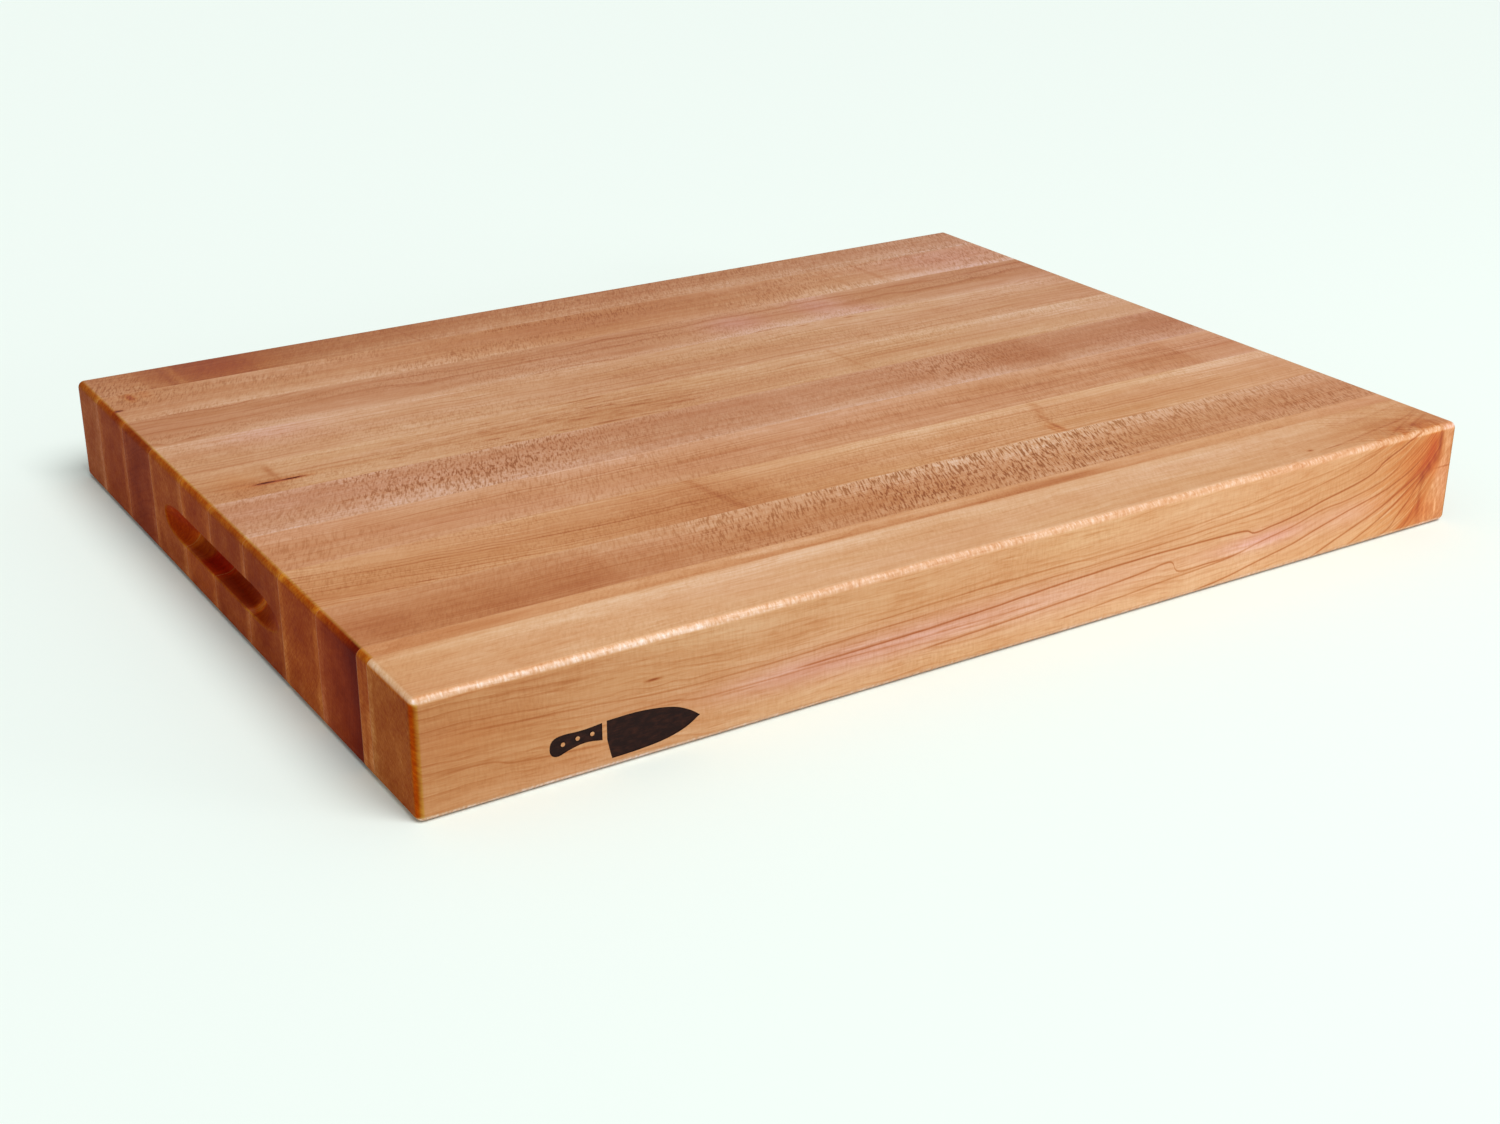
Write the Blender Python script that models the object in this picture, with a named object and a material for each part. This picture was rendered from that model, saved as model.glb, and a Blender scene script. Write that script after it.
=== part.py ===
"""Butcher-block cutting board: full-length hardwood staves, glued edge to edge, with a finger grip in each end.

Metres, +Z up. The origin is at the centre of the underside, on the plane the board rests on. +X runs along the
staves and their grain, the front long side faces -Y, and the top cutting face is at z = THICKNESS. The board is
reversible: both faces are flat cutting faces.

The staves are separate solids. Each joint between two staves holds a thin film of cured glue, which is a solid too.
"""

import math

import bmesh
import bpy
from mathutils import Vector

# ---------------------------------------------------------------- board (metres)
LENGTH = 0.6096  # 24 in, along the staves
THICKNESS = 0.05715  # 2 1/4 in

EDGE_RADIUS = 0.0038  # round-over on every outer edge and corner
EDGE_SEGMENTS = 6

# The staves from the front long side to the back one: name, width across the board, wood colour (linear RGB).
STAVES = (
    ("front_stave", 0.0440, (0.80, 0.52, 0.27)),
    ("filler_strip", 0.0110, (0.74, 0.47, 0.25)),
    ("stave_03", 0.0450, (0.60, 0.33, 0.15)),
    ("stave_04", 0.0455, (0.76, 0.50, 0.27)),
    ("stave_05", 0.0450, (0.66, 0.38, 0.19)),
    ("stave_06", 0.0475, (0.66, 0.41, 0.25)),
    ("stave_07", 0.0427, (0.76, 0.52, 0.27)),
    ("stave_08", 0.0483, (0.72, 0.46, 0.24)),
    ("stave_09", 0.0450, (0.58, 0.34, 0.17)),
    ("stave_10", 0.0455, (0.64, 0.38, 0.17)),
    ("back_stave", 0.0377, (0.62, 0.37, 0.18)),
)
WIDTH = sum(width for _, width, _ in STAVES)  # 0.4572, 18 in

# ---------------------------------------------------------------- glue joints
GLUE_THICKNESS = 0.00020  # cured film between two staves
GLUE_CLEARANCE = 0.00005  # from the film to the stave on each side, so that no two solids share a face
HALF_JOINT = GLUE_THICKNESS / 2 + GLUE_CLEARANCE

# ---------------------------------------------------------------- finger grips
# Each grip is cut by a bull-nosed disc, lying flat at mid-thickness and sunk into the end of the board.
GRIP_LENGTH = 0.1600  # length of the mouth, across the staves
GRIP_HEIGHT = 0.0165  # height of the mouth
GRIP_DEPTH = 0.0140  # deepest point, at the middle of the mouth
GRIP_TURN_STEPS = 180  # facets round the whole disc
GRIP_NOSE_STEPS = 10  # facets round its bull nose

# The end face cuts a segment off the disc, with a chord GRIP_LENGTH long and a height of GRIP_DEPTH.
DISC_RADIUS = ((GRIP_LENGTH / 2) ** 2 + GRIP_DEPTH**2) / (2 * GRIP_DEPTH)
DISC_AXIS_X = LENGTH / 2 + DISC_RADIUS - GRIP_DEPTH

# ---------------------------------------------------------------- finish
WOOD_ROUGHNESS = 0.45
GLUE_COLOUR = (0.74, 0.55, 0.30)
GLUE_ROUGHNESS = 0.40
SHARP_ANGLE = math.radians(32)  # edges that turn more than this stay sharp in shading


def clear_scene():
    for obj in list(bpy.data.objects):
        bpy.data.objects.remove(obj, do_unlink=True)


def add_material(name, colour, roughness):
    material = bpy.data.materials.new(name)
    material.use_nodes = True
    shader = material.node_tree.nodes["Principled BSDF"]
    shader.inputs["Base Color"].default_value = (*colour, 1.0)
    shader.inputs["Roughness"].default_value = roughness
    shader.inputs["Metallic"].default_value = 0.0
    material.diffuse_color = (*colour, 1.0)
    return material


def add_object(name, bm, location, parent):
    mesh = bpy.data.meshes.new(name)
    bm.to_mesh(mesh)
    bm.free()
    obj = bpy.data.objects.new(name, mesh)
    obj.location = location
    bpy.context.scene.collection.objects.link(obj)
    obj.parent = parent
    return obj


def plank(depth, round_front, round_back):
    """A plank LENGTH x depth x THICKNESS centred on its own origin, with the round-over on its outer edges only.

    The two ends are always outer faces. The front and back sides are outer faces only on the outermost staves, where
    the round-over also runs along the stave and down its vertical corners.
    """
    bm = bmesh.new()
    bmesh.ops.create_cube(bm, size=1.0)
    bmesh.ops.scale(bm, vec=Vector((LENGTH, depth, THICKNESS)), verts=bm.verts)
    outer_edges = []
    for edge in bm.edges:
        start, end = (vert.co for vert in edge.verts)
        crosses_stave = abs((end - start).normalized().y) > 0.9  # an end's top or bottom edge
        middle_y = (start.y + end.y) / 2
        on_outer_side = (round_front and middle_y < 0) or (round_back and middle_y > 0)
        if crosses_stave or on_outer_side:
            outer_edges.append(edge)
    bmesh.ops.bevel(
        bm,
        geom=outer_edges,
        offset=EDGE_RADIUS,
        offset_type="OFFSET",
        segments=EDGE_SEGMENTS,
        profile=0.5,  # circular arc
        affect="EDGES",
    )
    bmesh.ops.recalc_face_normals(bm, faces=bm.faces)
    return bm


def grip_disc():
    """The bull-nosed disc, with its axis upright on its own origin."""
    nose_radius = GRIP_HEIGHT / 2
    flat_radius = DISC_RADIUS - nose_radius
    profile = []  # (distance from the axis, z), from the top of the nose to its bottom
    for step in range(GRIP_NOSE_STEPS + 1):
        angle = math.pi / 2 - math.pi * step / GRIP_NOSE_STEPS
        profile.append((flat_radius + nose_radius * math.cos(angle), nose_radius * math.sin(angle)))

    bm = bmesh.new()
    rings = []  # one copy of the profile per step of turn
    for turn in range(GRIP_TURN_STEPS):
        # Half a step of turn puts a facet, not a corner, at the middle of the mouth.
        angle = 2 * math.pi * (turn + 0.5) / GRIP_TURN_STEPS
        rings.append(
            [
                bm.verts.new((distance * math.cos(angle), distance * math.sin(angle), z))
                for distance, z in profile
            ]
        )
    for turn, ring in enumerate(rings):
        following = rings[(turn + 1) % GRIP_TURN_STEPS]
        for step in range(GRIP_NOSE_STEPS):
            bm.faces.new((ring[step], ring[step + 1], following[step + 1], following[step]))
    bm.faces.new([ring[0] for ring in rings])
    bm.faces.new([ring[-1] for ring in reversed(rings)])
    bmesh.ops.recalc_face_normals(bm, faces=bm.faces)
    return bm


def add_grip_cutters(board):
    """A hidden disc at each end of the board, keyed by the name of the grip it cuts."""
    cutters = {}
    for grip_name, axis_x in (("left_grip", -DISC_AXIS_X), ("right_grip", DISC_AXIS_X)):
        cutter = add_object(f"cutter_{grip_name}", grip_disc(), (axis_x, 0.0, THICKNESS / 2), board)
        cutter.hide_render = True
        cutter.display_type = "WIRE"
        cutters[grip_name] = cutter
    return cutters


def cut_grips(obj, cutters):
    for grip_name, cutter in cutters.items():
        cut = obj.modifiers.new(grip_name, "BOOLEAN")
        cut.operation = "DIFFERENCE"
        cut.solver = "EXACT"
        cut.object = cutter


def add_strip(name, depth, centre_y, material, board, cutters, round_front=False, round_back=False):
    """A full-length stave or glue film, cut by the grips if it lies across their mouths."""
    bm = plank(depth, round_front, round_back)
    strip = add_object(name, bm, (0.0, centre_y, THICKNESS / 2), board)
    strip.data.materials.append(material)
    strip.data.shade_smooth()
    strip.data.set_sharp_from_angle(angle=SHARP_ANGLE)
    if abs(centre_y) - depth / 2 < GRIP_LENGTH / 2:
        cut_grips(strip, cutters)


def build():
    clear_scene()
    board = bpy.data.objects.new("cutting_board", None)
    board.empty_display_size = 0.05
    bpy.context.scene.collection.objects.link(board)
    cutters = add_grip_cutters(board)
    glue = add_material("cured_glue", GLUE_COLOUR, GLUE_ROUGHNESS)

    joint_y = -WIDTH / 2  # front side of the next stave's share of the width
    for number, (name, width, colour) in enumerate(STAVES, start=1):
        first, last = number == 1, number == len(STAVES)
        # A stave stops short of the middle of each joint it shares.
        front_y = joint_y + (0 if first else HALF_JOINT)
        back_y = joint_y + width - (0 if last else HALF_JOINT)
        wood = add_material(f"maple_{name}", colour, WOOD_ROUGHNESS)
        add_strip(
            name,
            back_y - front_y,
            (front_y + back_y) / 2,
            wood,
            board,
            cutters,
            round_front=first,
            round_back=last,
        )
        joint_y += width
        if not last:
            add_strip(f"glue_line_{number:02d}", GLUE_THICKNESS, joint_y, glue, board, cutters)


build()
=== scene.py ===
"""The looks of the butcher-block cutting board: eleven glued maple staves with a finger grip in each end.

Every stave is one plank cut from its own log, so its material is a solid texture: growth rings
round the log's pith, ray fleck, fibre and colour are worked out at each point of the wood, and
the top, the sides, the end grain and the inside of the finger grip all show the same wood.
Lengths in the wood are millimetres from the board's lower left front corner: X along the staves
to the right, Y to the back, Z up. Meshes are built in metres, in the frame's own place.
"""

import math

import bmesh
import bpy
from mathutils import Matrix, Vector


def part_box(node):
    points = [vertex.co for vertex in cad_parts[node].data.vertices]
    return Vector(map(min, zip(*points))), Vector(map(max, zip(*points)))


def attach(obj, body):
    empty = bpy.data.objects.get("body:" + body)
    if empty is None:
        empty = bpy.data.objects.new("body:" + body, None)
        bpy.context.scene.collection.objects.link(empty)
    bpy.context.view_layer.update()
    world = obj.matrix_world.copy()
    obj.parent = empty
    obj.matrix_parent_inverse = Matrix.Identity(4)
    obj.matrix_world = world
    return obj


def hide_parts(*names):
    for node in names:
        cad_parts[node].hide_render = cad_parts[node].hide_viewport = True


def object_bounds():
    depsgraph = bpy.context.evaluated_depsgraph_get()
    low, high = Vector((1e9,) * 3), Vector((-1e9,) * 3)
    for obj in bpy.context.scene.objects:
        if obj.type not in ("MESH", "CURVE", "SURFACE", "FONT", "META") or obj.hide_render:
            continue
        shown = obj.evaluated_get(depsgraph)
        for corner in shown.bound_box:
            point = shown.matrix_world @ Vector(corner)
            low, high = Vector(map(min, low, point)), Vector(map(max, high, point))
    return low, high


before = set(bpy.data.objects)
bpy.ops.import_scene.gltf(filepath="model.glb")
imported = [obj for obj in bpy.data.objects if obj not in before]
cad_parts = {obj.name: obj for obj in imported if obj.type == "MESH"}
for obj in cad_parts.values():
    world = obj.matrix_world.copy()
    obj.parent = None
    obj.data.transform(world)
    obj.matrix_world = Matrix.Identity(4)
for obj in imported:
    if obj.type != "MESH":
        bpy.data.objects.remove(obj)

MM = 0.001
cad_low, cad_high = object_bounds()
CORNER = Vector(cad_low)  # the board's lower left front corner
LENGTH = cad_high.x - cad_low.x
WIDTH = cad_high.y - cad_low.y
THICK = cad_high.z - cad_low.z
MIDDLE = Vector((cad_low + cad_high) / 2) if False else None
MIDDLE_X = (cad_low.x + cad_high.x) / 2
MIDDLE_Y = (cad_low.y + cad_high.y) / 2
MIDDLE_Z = (cad_low.z + cad_high.z) / 2
WOOD_MIDDLE_Z = 28.575  # half the board's thickness, in wood mm

EDGE_RADIUS = 3.8 * MM
EDGE_STEPS = 12
GRIP_LENGTH = 160.0 * MM
GRIP_HEIGHT = 16.5 * MM
GRIP_DEPTH = 14.0 * MM
GRIP_EASE = 0.9 * MM  # softened rim of the grip's mouth
SEAM = 0.002 * MM  # air left between a stave and its glue film

STAVES = [
    "front_stave",
    "filler_strip",
    *(f"stave_{i:02d}" for i in range(3, 11)),
    "back_stave",
]
FILMS = [f"glue_line_{i:02d}" for i in range(1, 11)]


# ------------------------------------------------------------------ the wood's measured tables
# Each stave's log and colour. Pairs are (position, value), joined by a smooth curve; positions
# along X run from 0 to 609.6, the board's right end.
#   face, end: linear colour of the face grain and of the oiled end grain
#   pith: the log's centre, in mm of Y and Z from the middle of the stave's section
#   spacing: mm between rings; rings: how dark they are
#   fleck, dash, curl, slant: strengths of ray fleck, of short dark flecks along the grain, of
#       waves across it and of finer slanting waves; *_along: the same strength's share along X
#   ray_break: how quickly a ray ends away from the pith, per mm
#   tone: darkness along X; across: darkness from the stave's front edge (0) to its back edge (1)
#   lift, slide: mm by which the rings rise, or move back, along X
#   end_across, end_rise: darkness of the end grain from front to back, and how it grows upwards
#   pink: extra pinkness; seed: makes each stave's texture its own
WOOD = {
    "front_stave": dict(
        face=(0.66, 0.365, 0.185), end=(0.4, 0.105, 0.0182), pith=(120.0, -130.0),
        spacing=2.1, rings=0.75, fleck=0.10, seed=1.0,
        tone=[
            (0, 0.28), (43, 0.10), (118, -0.11), (193, -0.11), (267, 0.0), (416, 0.0),
            (491, 0.10), (566, 0.32), (609.6, 0.5),
        ],
        # Near 0 the front stave's across curve lightens its rounded front edge: a painted highlight.
        across=[
            (0, -0.12), (0.07, -0.08), (0.12, 0.10), (0.2, 0.11), (0.5, 0.05), (0.68, 0.0),
            (0.85, -0.22), (0.93, -0.15), (1, 0.1),
        ],
        lift=[
            (0, 10), (30, 9.5), (60, 7), (115, 3.5), (150, 1), (200, 0), (464, 0), (490, 2.5),
            (512, 6.5), (538, 10), (549, 13.5), (560, 19), (574, 26), (590, 36), (609.6, 52),
        ],
    ),
    "filler_strip": dict(
        face=(0.61, 0.298, 0.131), end=(0.4, 0.0837, 0.0121), pith=(-20.0, 160.0),
        spacing=2.2, rings=0.8, fleck=0.15, end_rise=0.75, seed=2.0,
        tone=[
            (0, 0.46), (43, 0.34), (80, 0.02), (130, -0.05), (180, -0.03), (300, 0.0),
            (340, 0.04), (400, 0.0), (440, -0.04), (609.6, 0.08),
        ],
        across=[(0, 0.1), (0.3, 0.03), (0.6, -0.05), (0.8, -0.10), (1, 0.15)],
    ),
    "stave_03": dict(
        face=(0.545, 0.255, 0.112), end=(0.28, 0.0353, 0.0044), pith=(-190.0, -40.0),
        spacing=2.3, rings=0.35, fleck=1.0, slant=0.55, end_rise=0.40, seed=3.0,
        fleck_along=[
            (0, 0.15), (150, 0.2), (190, 0.6), (270, 1.0), (300, 1.35), (400, 1.3),
            (430, 1.1), (480, 0.8), (609.6, 0.6),
        ],
        tone=[
            (0, 0.36), (60, 0.48), (128, 0.40), (136, 0.14), (180, 0.10), (267, 0.12),
            (342, -0.02), (420, -0.11), (500, -0.10), (609.6, 0.02),
        ],
        across=[
            (0, -0.05), (0.1, 0.08), (0.25, 0.27), (0.4, 0.22), (0.55, 0.13), (0.65, 0.0),
            (0.75, -0.19), (0.85, -0.27), (1, -0.5),
        ],
        end_across=[
            (0, 3.0), (0.08, 2.5), (0.16, 1.4), (0.3, 0.65), (0.5, 0.10), (0.7, -0.45),
            (0.82, -0.7), (1, -0.85),
        ],
    ),
    "stave_04": dict(
        face=(0.60, 0.305, 0.138), end=(0.4, 0.0791, 0.0099), pith=(110.0, 110.0),
        spacing=2.4, rings=0.6, fleck=0.25, end_rise=0.30, seed=4.0,
        tone=[
            (0, 0.32), (43, 0.30), (118, 0.19), (193, 0.33), (210, 0.36), (230, 0.18),
            (300, 0.03), (342, -0.10), (416, -0.12), (491, -0.07), (540, -0.16),
            (609.6, -0.14),
        ],
        across=[
            (0, -0.10), (0.15, 0.14), (0.3, 0.21), (0.5, 0.15), (0.65, 0.03), (0.8, -0.20),
            (1, -0.35),
        ],
        slide=[(0, 17), (40, 11), (90, 5), (150, 1), (200, 0), (609.6, 0)],
    ),
    "stave_05": dict(
        face=(0.565, 0.272, 0.130), end=(0.3, 0.0484, 0.00605), pith=(170.0, 60.0),
        spacing=2.5, rings=0.6, fleck=0.3, seed=5.0,
        tone=[
            (0, 0.08), (80, 0.02), (130, -0.06), (200, 0.0), (330, -0.07), (400, 0.02),
            (460, 0.04), (520, -0.05), (562, 0.06), (566, -0.05), (609.6, -0.04),
        ],
        across=[
            (0, -0.10), (0.15, 0.06), (0.35, 0.12), (0.45, 0.25), (0.55, 0.10), (0.75, 0.0),
            (0.85, -0.12), (1, -0.45),
        ],
    ),
    "stave_06": dict(
        face=(0.520, 0.248, 0.122), end=(0.32, 0.0558, 0.0077), pith=(-180.0, 30.0),
        spacing=2.2, rings=0.4, fleck=0.90, ray_break=0.21, slant=0.62, pink=0.12, seed=6.0,
        fleck_along=[
            (0, 0.35), (60, 0.55), (95, 1.15), (165, 1.10), (205, 0.6), (330, 0.35),
            (400, 0.5), (440, 0.8), (470, 0.5), (609.6, 0.35),
        ],
        tone=[
            (0, -0.09), (50, -0.12), (90, -0.14), (130, -0.08), (193, -0.07), (267, 0.09),
            (342, -0.08), (390, -0.12), (430, -0.08), (460, 0.08), (500, 0.18), (506, 0.08),
            (609.6, 0.26),
        ],
        across=[
            (0, -0.55), (0.1, -0.25), (0.2, -0.12), (0.35, 0.12), (0.65, 0.22),
            (0.78, 0.20), (0.9, 0.0), (1, -0.20),
        ],
    ),
    "stave_07": dict(
        face=(0.560, 0.290, 0.137), end=(0.36, 0.0651, 0.0077), pith=(-70.0, 120.0),
        spacing=2.9, rings=0.7, fleck=0.3, dash=1.2, slant=0.55, seed=7.0,
        dash_along=[
            (0, 0.5), (60, 0.4), (100, 0.5), (170, 1.0), (260, 1.0), (300, 0.5),
            (400, 0.2), (609.6, 0.1),
        ],
        tone=[
            (0, 0.26), (40, 0.12), (80, -0.12), (118, -0.05), (190, 0.06), (250, 0.20),
            (300, -0.01), (340, -0.04), (416, -0.16), (480, -0.12), (540, -0.26),
            (609.6, -0.18),
        ],
        across=[
            (0, -0.08), (0.15, 0.06), (0.35, 0.16), (0.55, 0.08), (0.75, -0.08), (1, -0.25),
        ],
    ),
    "stave_08": dict(
        face=(0.565, 0.298, 0.148), end=(0.37, 0.0772, 0.0121), pith=(110.0, -90.0),
        spacing=3.0, rings=0.5, fleck=0.25, dash=0.5, pink=0.1, seed=8.0,
        tone=[
            (0, 0.10), (30, 0.08), (60, -0.06), (110, -0.08), (150, -0.01), (260, 0.09),
            (330, 0.12), (380, -0.02), (430, -0.08), (500, -0.04), (560, 0.02),
            (609.6, 0.08),
        ],
        across=[
            (0, -0.13), (0.15, 0.03), (0.45, 0.14), (0.6, 0.08), (0.8, -0.08), (1, -0.25),
        ],
    ),
    "stave_09": dict(
        face=(0.510, 0.241, 0.113), end=(0.26, 0.0365, 0.0058), pith=(-60.0, -140.0),
        spacing=2.6, rings=0.6, fleck=0.35, seed=9.0,
        tone=[
            (0, 0.16), (30, 0.13), (75, -0.06), (120, 0.02), (193, 0.0), (267, 0.08),
            (300, 0.04), (345, -0.10), (380, -0.14), (440, -0.32), (458, -0.04),
            (510, -0.03), (560, 0.06), (609.6, 0.12),
        ],
        across=[
            (0, -0.50), (0.15, -0.20), (0.35, 0.03), (0.5, 0.15), (0.7, 0.20),
            (0.88, 0.14), (1, -0.12),
        ],
    ),
    "stave_10": dict(
        face=(0.510, 0.238, 0.106), end=(0.32, 0.0558, 0.0088), pith=(150.0, 80.0),
        spacing=2.4, rings=0.5, fleck=0.5, curl=0.6, slant=0.6, seed=10.0,
        tone=[
            (0, 0.10), (43, 0.04), (118, -0.13), (193, 0.04), (247, 0.14), (253, 0.32),
            (342, 0.30), (385, 0.18), (392, 0.0), (437, -0.02), (444, -0.22),
            (491, -0.26), (566, -0.24), (609.6, -0.30),
        ],
        across=[
            (0, -0.48), (0.15, -0.22), (0.3, 0.0), (0.5, 0.14), (0.75, 0.19),
            (0.9, 0.10), (1, -0.05),
        ],
    ),
    "back_stave": dict(
        face=(0.455, 0.196, 0.085), end=(0.385, 0.096, 0.0262), pith=(-170.0, -60.0),
        spacing=2.4, rings=0.5, fleck=0.7, curl=1.5, slant=0.8, seed=11.0,
        fleck_along=[(0, 1.0), (28, 1.0), (34, 0.3), (220, 0.3), (300, 0.7), (609.6, 0.8)],
        tone=[
            (0, 0.12), (26, 0.22), (32, 0.54), (40, 0.72), (52, 0.84), (95, 0.74),
            (118, 0.55), (193, 0.17), (232, -0.05), (267, -0.03), (342, -0.07),
            (416, -0.28), (500, -0.30), (609.6, -0.36),
        ],
        across=[
            (0, -0.40), (0.15, -0.27), (0.35, -0.06), (0.5, 0.10), (0.75, 0.17), (1, 0.28),
        ],
    ),
}

# How deeply the finish stained the wood inside the left finger grip, along Y, together with painted shade
# in the hollow, heaviest from Y 239 to 256.
GRIP_SHADE_AND_SOAK = [
    (140, 0.55), (165, 0.50), (184, 0.50), (186.5, 0.30), (188.5, -0.28), (191.5, -0.28),
    (194, 0.55), (210, 0.75), (232, 0.72), (239, 1.55), (256, 1.5), (263, 0.40),
    (278, 0.30), (282, 0.80), (312, 0.85),
]

# Marks in one stave. spot is a soft dark ellipsoid: X, Y, Z, its three radii, strength. blush and
# amber are the same, but pink or orange. bar is a dark band across the stave: start, end, edge
# softness, slant in mm of X per mm of Y, strength.
MARKS = {
    "front_stave": {
        "spot": [
            (509.7, 11.1, 57, 1.5, 0.9, 3, 1.8), (111, 0, 36.9, 3.4, 6, 0.55, 2.6),
            (71, 0, 47.2, 7, 6, 1.4, 0.45), (45, 0, 50, 9, 6, 3.0, 0.15),
            (8, 0, 8, 12, 6, 3.0, 0.25), (596, 0, 8, 16, 14, 8, 0.15),
            (597.4, 0, 48, 1.3, 12, 9, 1.5), (594.6, 0, 39.5, 2.0, 10, 3.2, 1.2),
            (590.5, 0, 35, 2.2, 10, 3.0, 1.4), (586.5, 0, 30.5, 2.2, 10, 4.0, 1.2),
            (586.0, 0, 15, 1.3, 10, 10, 0.9), (602, 0, 46, 2.4, 10, 9, -0.55),
            (600, 0, 20, 8, 12, 12, -0.45), (591.4, 0, 9, 0.8, 10, 5, -0.6),
            (599.7, 0, 10, 0.8, 10, 5, -0.7), (598, 0, 32, 6, 12, 7, -0.30),
            (603, 0, 33.2, 6, 10, 0.5, 1.2), (560, 20, 57, 40, 3.0, 5, 0.35),
            (580, 10, 57, 26, 2.0, 5, 0.40),
        ],
        "blush": [
            (290, 0, 22, 125, 14, 9, 1.15), (245, 0, 20, 50, 14, 7, 0.5),
            (484, 0, 21, 24, 14, 6, 0.9), (180, 0, 20, 40, 14, 7, 0.8),
            (462, 0, 20, 32, 14, 4.5, 1.4), (606, 0, 28, 4, 14, 30, 0.5),
            (205, 0, 21, 70, 14, 7, 0.5), (535, 0, 21, 28, 14, 7, 0.9),
            (598, 0, 32, 6, 12, 7, 0.9),
        ],
        "amber": [
            (98, 0, 15, 42, 6, 9, 0.16), (24, 0, 34, 26, 6, 8, 0.14),
            (592, 0, 8, 18, 14, 9, 0.30), (578, 0, 36, 30, 16, 30, 0.40),
            (584, 0, 44, 12, 18, 13, 0.60), (592, 0, 49, 5, 14, 10, 0.95),
            (588, 0, 36, 6, 14, 7, 0.65), (580, 0, 20, 10, 10, 16, 0.45),
            (594, 0, 40, 5, 10, 12, 0.55), (590, 0, 10, 9, 10, 9, 0.45),
            (604, 0, 30, 9, 10, 40, 0.25),
        ],
    },
    "filler_strip": {
        "spot": [
            (330, 45.2, 57, 75, 1.6, 8, 0.45), (360, 48.0, 57, 34, 3.4, 8, 0.75),
            (385, 48.0, 57, 16, 3.0, 8, 0.60), (60, 50, 57, 26, 3.0, 8, 0.35),
            (215, 45.6, 57, 90, 1.3, 6, 0.35),
        ],
    },
    "stave_03": {
        "spot": [
            (20, 70, 57, 15, 12, 10, 0.35), (110, 62, 57, 26, 9, 14, 0.30),
            (70, 64, 57, 14, 7, 14, 0.25),
        ],
    },
    "stave_04": {
        "bar": [(215, 219, 2.5, 0.16, 0.50), (196, 244, 8.0, 0.0, 0.16)],
        "spot": [
            (421.5, 108, 57, 1.5, 9, 8, 1.0), (424, 124, 57, 1.6, 6, 8, 0.75),
            (428, 132, 57, 2.0, 6, 8, 0.65), (432, 140, 57, 2.4, 6, 8, 0.55),
            (417, 107, 57, 1.2, 6, 8, 0.6), (470, 126, 57, 40, 1.6, 6, 0.30),
        ],
        "amber": [(419.5, 106, 57, 4.5, 8, 8, 0.35)],
    },
    "stave_05": {
        "bar": [(520, 564, 1.0, 0.0, 0.14)],
        "spot": [
            (330, 168, 57, 180, 1.6, 8, 0.22), (400, 166, 57, 110, 0.8, 8, 0.40),
            (470, 158, 57, 60, 0.7, 8, 0.30),
        ],
    },
    "stave_06": {
        "bar": [(462, 500, 1.0, 0.0, 0.14)],
        "blush": [(60, 225, 57, 70, 30, 30, 0.25)],
    },
    "stave_07": {
        "spot": [
            (42, 266, 57, 2.0, 9, 8, 0.9), (35, 252.3, 57, 5.5, 1.15, 4, 3.4),
            (48.8, 251.9, 57, 6.6, 1.15, 4, 3.4), (74, 260.5, 57, 24, 0.7, 4, 0.55),
            (104, 250.2, 57, 4, 1.0, 4, 1.4), (159, 248.4, 57, 4, 0.8, 4, 1.1),
            (165, 239.6, 57, 3.5, 1.0, 4, 1.3), (197, 241.2, 57, 6, 0.8, 4, 1.3),
            (211, 252.0, 57, 7, 1.1, 4, 1.2), (222, 240.6, 57, 11, 1.2, 4, 1.4),
            (225, 265.2, 57, 5, 0.9, 4, 1.1), (227, 278.0, 57, 12, 0.8, 4, 1.3),
            (268, 248.0, 57, 8, 0.8, 4, 0.9), (25, 246, 57, 18, 7, 8, 0.35),
        ],
        "bar": [(389.5, 391.5, 1.2, 0.05, 0.35)],
        "amber": [(42, 252.1, 57, 14, 1.9, 4, 0.9), (23, 257, 57, 11, 14, 10, 0.28)],
    },
    "stave_08": {
        "spot": [
            (169, 290, 57, 1.2, 1.0, 3, 1.0), (404, 326.5, 57, 3.5, 0.9, 4, 1.0),
            (438, 326.5, 57, 4, 0.9, 4, 1.2),
        ],
        "blush": [(62, 320, 57, 30, 14, 20, 1.0)],
    },
    "stave_09": {
        "spot": [(230, 358, 57, 1.2, 1.0, 3, 0.8)],
        "blush": [
            (372, 352, 57, 24, 16, 24, 1.5), (434, 356, 57, 20, 24, 24, 1.5),
            (458, 336, 57, 10, 12, 24, 0.9),
        ],
    },
    "stave_10": {
        "spot": [
            (16.5, 412, 57, 1.8, 5, 6, 0.9), (12.5, 416, 57, 1.0, 5, 5, 0.6),
            (3.6, 393.6, 57, 3.0, 1.6, 3, 3.3),
        ],
        "bar": [
            (389, 391.5, 1.0, 0.05, 0.22), (474, 478, 1.5, 0.05, 0.22),
            (502, 506, 2.0, 0.05, 0.35),
        ],
        "blush": [(16.5, 412, 57, 2.6, 6, 6, -1.5), (560, 400, 57, 50, 30, 24, 1.2)],
        "amber": [
            (255, 397, 57, 110, 40, 30, 0.10), (16.5, 412, 57, 2.4, 6, 6, 1.2),
            (25, 414, 57, 4, 9, 6, 0.35),
        ],
    },
    "back_stave": {
        "spot": [(15, 440, 57, 15, 30, 20, -0.22)],
        "bar": [
            (43, 46, 1.0, 0.0, 0.35), (48, 51.5, 1.0, 0.0, -0.35), (53, 94, 1.0, 0.0, 0.25),
            (190.5, 192.5, 1.0, 0.15, 0.40),
        ],
        "blush": [(110, 440, 57, 120, 40, 20, -0.5), (74, 440, 57, 27, 30, 20, -1.6)],
        "amber": [
            (74, 440, 57, 27, 30, 20, 1.02), (26, 440, 57, 26, 30, 20, 0.14),
            (270, 440, 57, 190, 40, 30, 0.09),
        ],
    },
}

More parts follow.
